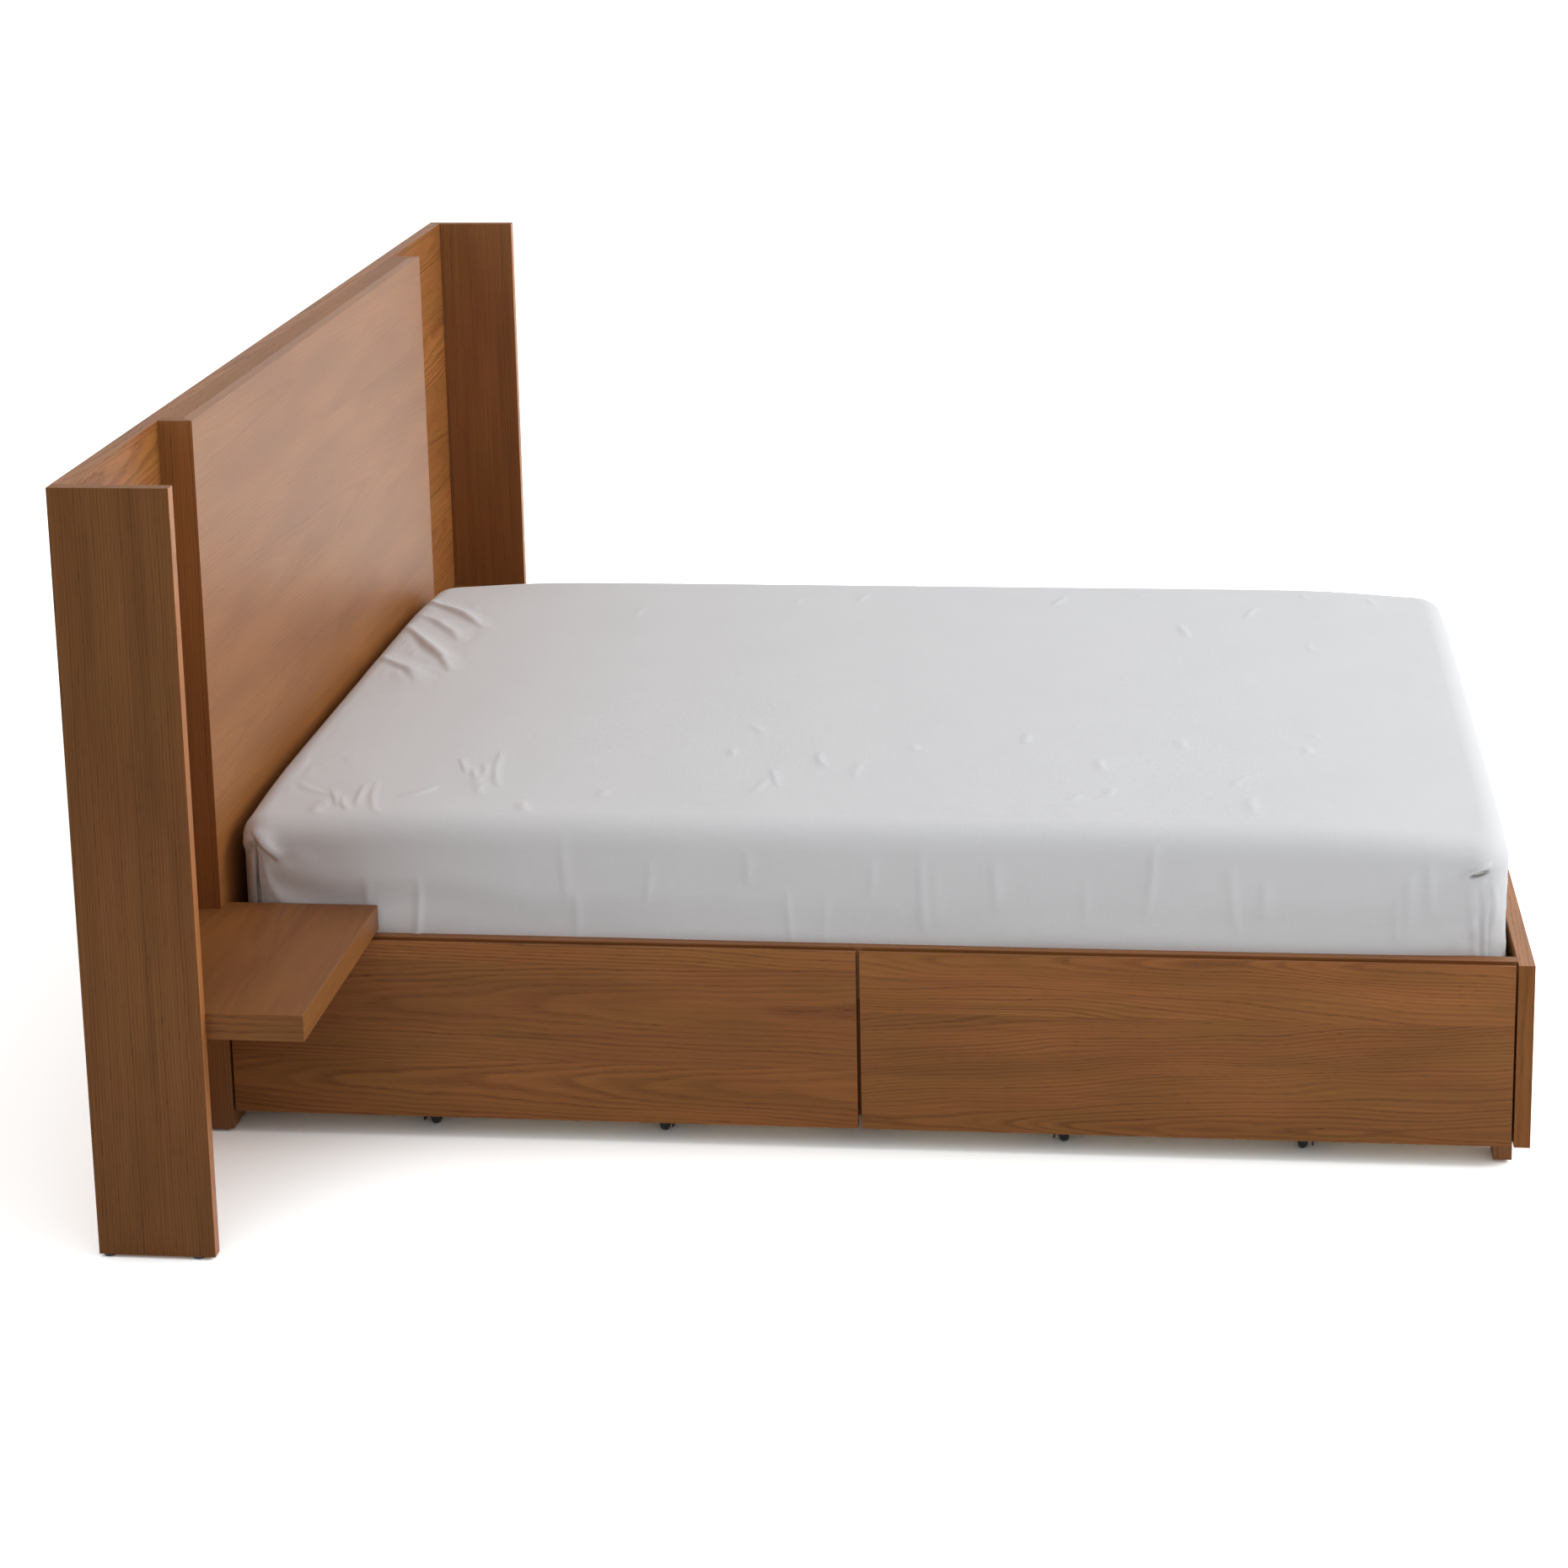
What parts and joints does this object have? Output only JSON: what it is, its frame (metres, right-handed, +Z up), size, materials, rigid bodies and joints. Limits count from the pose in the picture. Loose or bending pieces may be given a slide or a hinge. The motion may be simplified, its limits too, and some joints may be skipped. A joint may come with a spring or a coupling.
{
  "type": "storage bed",
  "caption": "Queen platform storage bed with a winged headboard, floating nightstand shelves and handle-less drawers that roll out from both long sides.",
  "frame": {"origin": "on the floor, under the middle of the bed's box", "axes": "+X to the right across the bed, +Y to the headboard and the wall, +Z up"},
  "size_m": [2.54, 2.198, 1.21],
  "materials": {
    "stained_oak": "satin clear coat over a brown stain",
    "birch": "satin lacquer",
    "pine": "bare, planed",
    "black_steel": "black powder coat",
    "black_plastic": "matt black nylon",
    "zinc_steel": "bright zinc plate",
    "sheet_cotton": "plain-woven pale grey cotton",
    "mattress_ticking": "woven ticking"
  },
  "bodies": {
    "bed_frame": {"back_panel": "stained_oak", "wing_left": "stained_oak", "wing_right": "stained_oak", "centre_panel_face": "stained_oak", "centre_panel_end_left": "stained_oak", "centre_panel_end_right": "stained_oak", "centre_panel_cap": "stained_oak", "centre_panel_battens": "pine", "headboard_bolts": "zinc_steel", "glides": "black_plastic", "shelf_left": "stained_oak", "shelf_right": "stained_oak", "shelf_cleats": "stained_oak", "side_rail_left": "stained_oak", "side_rail_right": "stained_oak", "rail_hook_plates": "zinc_steel", "footboard": "stained_oak", "corner_posts": "stained_oak", "cross_rails": "pine", "centre_beam": "pine", "centre_beam_feet": "black_steel", "bay_divider_left": "stained_oak", "bay_divider_right": "stained_oak", "drawer_guides": "pine", "slat_ledgers": "pine", "slats": "pine", "mattress": "mattress_ticking", "fitted_sheet": "sheet_cotton"},
    "drawer_left_head": {"drawer_left_head_front": "stained_oak", "drawer_left_head_side_head": "birch", "drawer_left_head_side_foot": "birch", "drawer_left_head_back": "birch", "drawer_left_head_bottom": "birch", "drawer_left_head_caster_brackets": "black_steel"},
    "drawer_left_head_front_wheels": {"drawer_left_head_front_wheels": "black_plastic"},
    "drawer_left_head_rear_wheels": {"drawer_left_head_rear_wheels": "black_plastic"},
    "drawer_left_foot": {"drawer_left_foot_front": "stained_oak", "drawer_left_foot_side_head": "birch", "drawer_left_foot_side_foot": "birch", "drawer_left_foot_back": "birch", "drawer_left_foot_bottom": "birch", "drawer_left_foot_caster_brackets": "black_steel"},
    "drawer_left_foot_front_wheels": {"drawer_left_foot_front_wheels": "black_plastic"},
    "drawer_left_foot_rear_wheels": {"drawer_left_foot_rear_wheels": "black_plastic"},
    "drawer_right_head": {"drawer_right_head_front": "stained_oak", "drawer_right_head_side_head": "birch", "drawer_right_head_side_foot": "birch", "drawer_right_head_back": "birch", "drawer_right_head_bottom": "birch", "drawer_right_head_caster_brackets": "black_steel"},
    "drawer_right_head_front_wheels": {"drawer_right_head_front_wheels": "black_plastic"},
    "drawer_right_head_rear_wheels": {"drawer_right_head_rear_wheels": "black_plastic"},
    "drawer_right_foot": {"drawer_right_foot_front": "stained_oak", "drawer_right_foot_side_head": "birch", "drawer_right_foot_side_foot": "birch", "drawer_right_foot_back": "birch", "drawer_right_foot_bottom": "birch", "drawer_right_foot_caster_brackets": "black_steel"},
    "drawer_right_foot_front_wheels": {"drawer_right_foot_front_wheels": "black_plastic"},
    "drawer_right_foot_rear_wheels": {"drawer_right_foot_rear_wheels": "black_plastic"}
  },
  "joints": [
    {"name": "drawer_left_head_slide", "type": "slide", "parent": "bed_frame", "child": "drawer_left_head", "axis": [-1, 0, 0], "range_m": [0, 0.43]},
    {"name": "drawer_left_head_front_wheels_roll", "type": "hinge", "parent": "drawer_left_head", "child": "drawer_left_head_front_wheels", "pos_m": [-0.746, 0.4955, 0.02], "axis": [0, -1, 0], "continuous": true},
    {"name": "drawer_left_head_rear_wheels_roll", "type": "hinge", "parent": "drawer_left_head", "child": "drawer_left_head_rear_wheels", "pos_m": [-0.13, 0.4955, 0.02], "axis": [0, -1, 0], "continuous": true},
    {"name": "drawer_left_foot_slide", "type": "slide", "parent": "bed_frame", "child": "drawer_left_foot", "axis": [-1, 0, 0], "range_m": [0, 0.56]},
    {"name": "drawer_left_foot_front_wheels_roll", "type": "hinge", "parent": "drawer_left_foot", "child": "drawer_left_foot_front_wheels", "pos_m": [-0.746, -0.5495, 0.02], "axis": [0, -1, 0], "continuous": true},
    {"name": "drawer_left_foot_rear_wheels_roll", "type": "hinge", "parent": "drawer_left_foot", "child": "drawer_left_foot_rear_wheels", "pos_m": [-0.13, -0.5495, 0.02], "axis": [0, -1, 0], "continuous": true},
    {"name": "drawer_right_head_slide", "type": "slide", "parent": "bed_frame", "child": "drawer_right_head", "axis": [1, 0, 0], "range_m": [0, 0.43]},
    {"name": "drawer_right_head_front_wheels_roll", "type": "hinge", "parent": "drawer_right_head", "child": "drawer_right_head_front_wheels", "pos_m": [0.746, 0.4955, 0.02], "axis": [0, 1, 0], "continuous": true},
    {"name": "drawer_right_head_rear_wheels_roll", "type": "hinge", "parent": "drawer_right_head", "child": "drawer_right_head_rear_wheels", "pos_m": [0.13, 0.4955, 0.02], "axis": [0, 1, 0], "continuous": true},
    {"name": "drawer_right_foot_slide", "type": "slide", "parent": "bed_frame", "child": "drawer_right_foot", "axis": [1, 0, 0], "range_m": [0, 0.56]},
    {"name": "drawer_right_foot_front_wheels_roll", "type": "hinge", "parent": "drawer_right_foot", "child": "drawer_right_foot_front_wheels", "pos_m": [0.746, -0.5495, 0.02], "axis": [0, 1, 0], "continuous": true},
    {"name": "drawer_right_foot_rear_wheels_roll", "type": "hinge", "parent": "drawer_right_foot", "child": "drawer_right_foot_rear_wheels", "pos_m": [0.13, -0.5495, 0.02], "axis": [0, 1, 0], "continuous": true}
  ],
  "couplings": [
    {"joint": "drawer_left_head_front_wheels_roll", "follows": "drawer_left_head_slide", "rad_per_m": 50},
    {"joint": "drawer_left_head_rear_wheels_roll", "follows": "drawer_left_head_slide", "rad_per_m": 50},
    {"joint": "drawer_left_foot_front_wheels_roll", "follows": "drawer_left_foot_slide", "rad_per_m": 50},
    {"joint": "drawer_left_foot_rear_wheels_roll", "follows": "drawer_left_foot_slide", "rad_per_m": 50},
    {"joint": "drawer_right_head_front_wheels_roll", "follows": "drawer_right_head_slide", "rad_per_m": 50},
    {"joint": "drawer_right_head_rear_wheels_roll", "follows": "drawer_right_head_slide", "rad_per_m": 50},
    {"joint": "drawer_right_foot_front_wheels_roll", "follows": "drawer_right_foot_slide", "rad_per_m": 50},
    {"joint": "drawer_right_foot_rear_wheels_roll", "follows": "drawer_right_foot_slide", "rad_per_m": 50}
  ]
}
